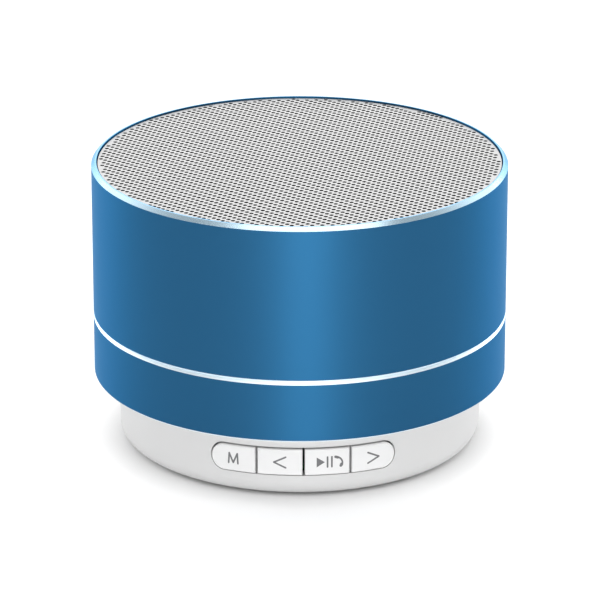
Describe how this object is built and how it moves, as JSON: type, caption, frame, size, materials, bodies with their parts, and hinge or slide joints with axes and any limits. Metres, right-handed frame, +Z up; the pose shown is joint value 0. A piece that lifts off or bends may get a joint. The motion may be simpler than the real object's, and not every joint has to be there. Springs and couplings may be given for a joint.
{
  "type": "portable wireless speaker",
  "caption": "Short round battery speaker: a metal sleeve with a V-groove and a perforated top, on a narrower plastic base with a row of press keys.",
  "frame": {"origin": "centre of the rubber foot's underside, where the speaker rests on a table", "axes": "+Z up along the sleeve's axis, -Y towards the keys, +Y towards the sockets and the power switch"},
  "size_m": [0.07, 0.07, 0.049],
  "materials": {
    "anodised_aluminium": "satin blue anodised, bright cut edges",
    "grille_metal": "pale perforated sheet, satin",
    "cloth": "thin black speaker cloth",
    "black_plastic": "black moulded",
    "white_plastic": "white moulded, fine texture",
    "rubber": "matte",
    "zinc_steel": "plated",
    "basket_steel": "black electrocoat",
    "soft_rubber": "matte",
    "gasket_board": "pressed fibre",
    "cone_paper": "treated paper",
    "cap_metal": "glossy film",
    "former_foil": "foil",
    "copper_wire": "enamelled wire",
    "spider_cloth": "resin-dipped weave",
    "plated_iron": "zinc plated",
    "ferrite": "sintered",
    "brown_laminate": "paper laminate",
    "tinned_metal": "tinned",
    "green_laminate": "solder resist",
    "chip_plastic": "moulded",
    "ceramic": "glazed",
    "passive_ceramic": "ceramic",
    "cream_plastic": "moulded",
    "led_resin": "clear resin",
    "pouch_foil": "laminated foil",
    "tape": "foam tape",
    "red_sleeving": "flexible",
    "black_sleeving": "flexible",
    "plunger_plastic": "moulded"
  },
  "bodies": {
    "case": {"amplifier_chip": "chip_plastic", "antenna": "ceramic", "audio_chip": "chip_plastic", "baffle": "black_plastic", "base_housing": "white_plastic", "battery": "pouch_foil", "battery_lead_black": "black_sleeving", "battery_lead_red": "red_sleeving", "battery_tab_board": "green_laminate", "battery_tape": "tape", "board_screws": "zinc_steel", "capacitors": "tinned_metal", "card_base": "black_plastic", "card_cover": "tinned_metal", "case_screws": "zinc_steel", "chamber_plate": "black_plastic", "chip_passives": "passive_ceramic", "circuit_board": "green_laminate", "crystal": "tinned_metal", "driver_frame": "basket_steel", "driver_gasket": "gasket_board", "driver_screws": "zinc_steel", "dust_cloth": "cloth", "foot": "rubber", "grille": "grille_metal", "inductor": "ferrite", "key_switches": "black_plastic", "lead_connectors": "cream_plastic", "magnet": "ferrite", "memory_chip": "chip_plastic", "mic_grommet": "rubber", "microphone": "tinned_metal", "power_switch": "tinned_metal", "sleeve": "anodised_aluminium", "speaker_lead_black": "black_sleeving", "speaker_lead_red": "red_sleeving", "spider": "spider_cloth", "status_led": "led_resin", "surround": "soft_rubber", "terminal_board": "brown_laminate", "terminal_lugs": "tinned_metal", "top_plate": "plated_iron", "usb_socket": "tinned_metal", "usb_tongue": "black_plastic", "yoke": "plated_iron"},
    "key_mode": {"key_mode": "white_plastic", "plunger_mode": "plunger_plastic"},
    "key_back": {"key_back": "white_plastic", "plunger_back": "plunger_plastic"},
    "key_play": {"key_play": "white_plastic", "plunger_play": "plunger_plastic"},
    "key_next": {"key_next": "white_plastic", "plunger_next": "plunger_plastic"},
    "power": {"power_knob": "white_plastic", "power_slider": "black_plastic"},
    "voice": {"cone": "cone_paper", "dust_cap": "cap_metal", "coil_former": "former_foil", "voice_coil": "copper_wire"}
  },
  "joints": [
    {"name": "press_mode", "type": "slide", "parent": "case", "child": "key_mode", "axis": [0.3719, 0.9283, 0], "range_m": [0, 0.0003], "stiffness_N_per_m": 4000},
    {"name": "press_back", "type": "slide", "parent": "case", "child": "key_back", "axis": [0.1267, 0.9919, 0], "range_m": [0, 0.0003], "stiffness_N_per_m": 4000},
    {"name": "press_play", "type": "slide", "parent": "case", "child": "key_play", "axis": [-0.1267, 0.9919, 0], "range_m": [0, 0.0003], "stiffness_N_per_m": 4000},
    {"name": "press_next", "type": "slide", "parent": "case", "child": "key_next", "axis": [-0.3719, 0.9283, 0], "range_m": [0, 0.0003], "stiffness_N_per_m": 4000},
    {"name": "power_slide", "type": "slide", "parent": "case", "child": "power", "axis": [-0.866, -0.5, 0], "range_m": [0, 0.002]},
    {"name": "cone_stroke", "type": "slide", "parent": "case", "child": "voice", "axis": [0, 0, 1], "range_m": [-0.0008, 0.0008], "stiffness_N_per_m": 2000, "deforming": ["surround", "spider"]}
  ]
}
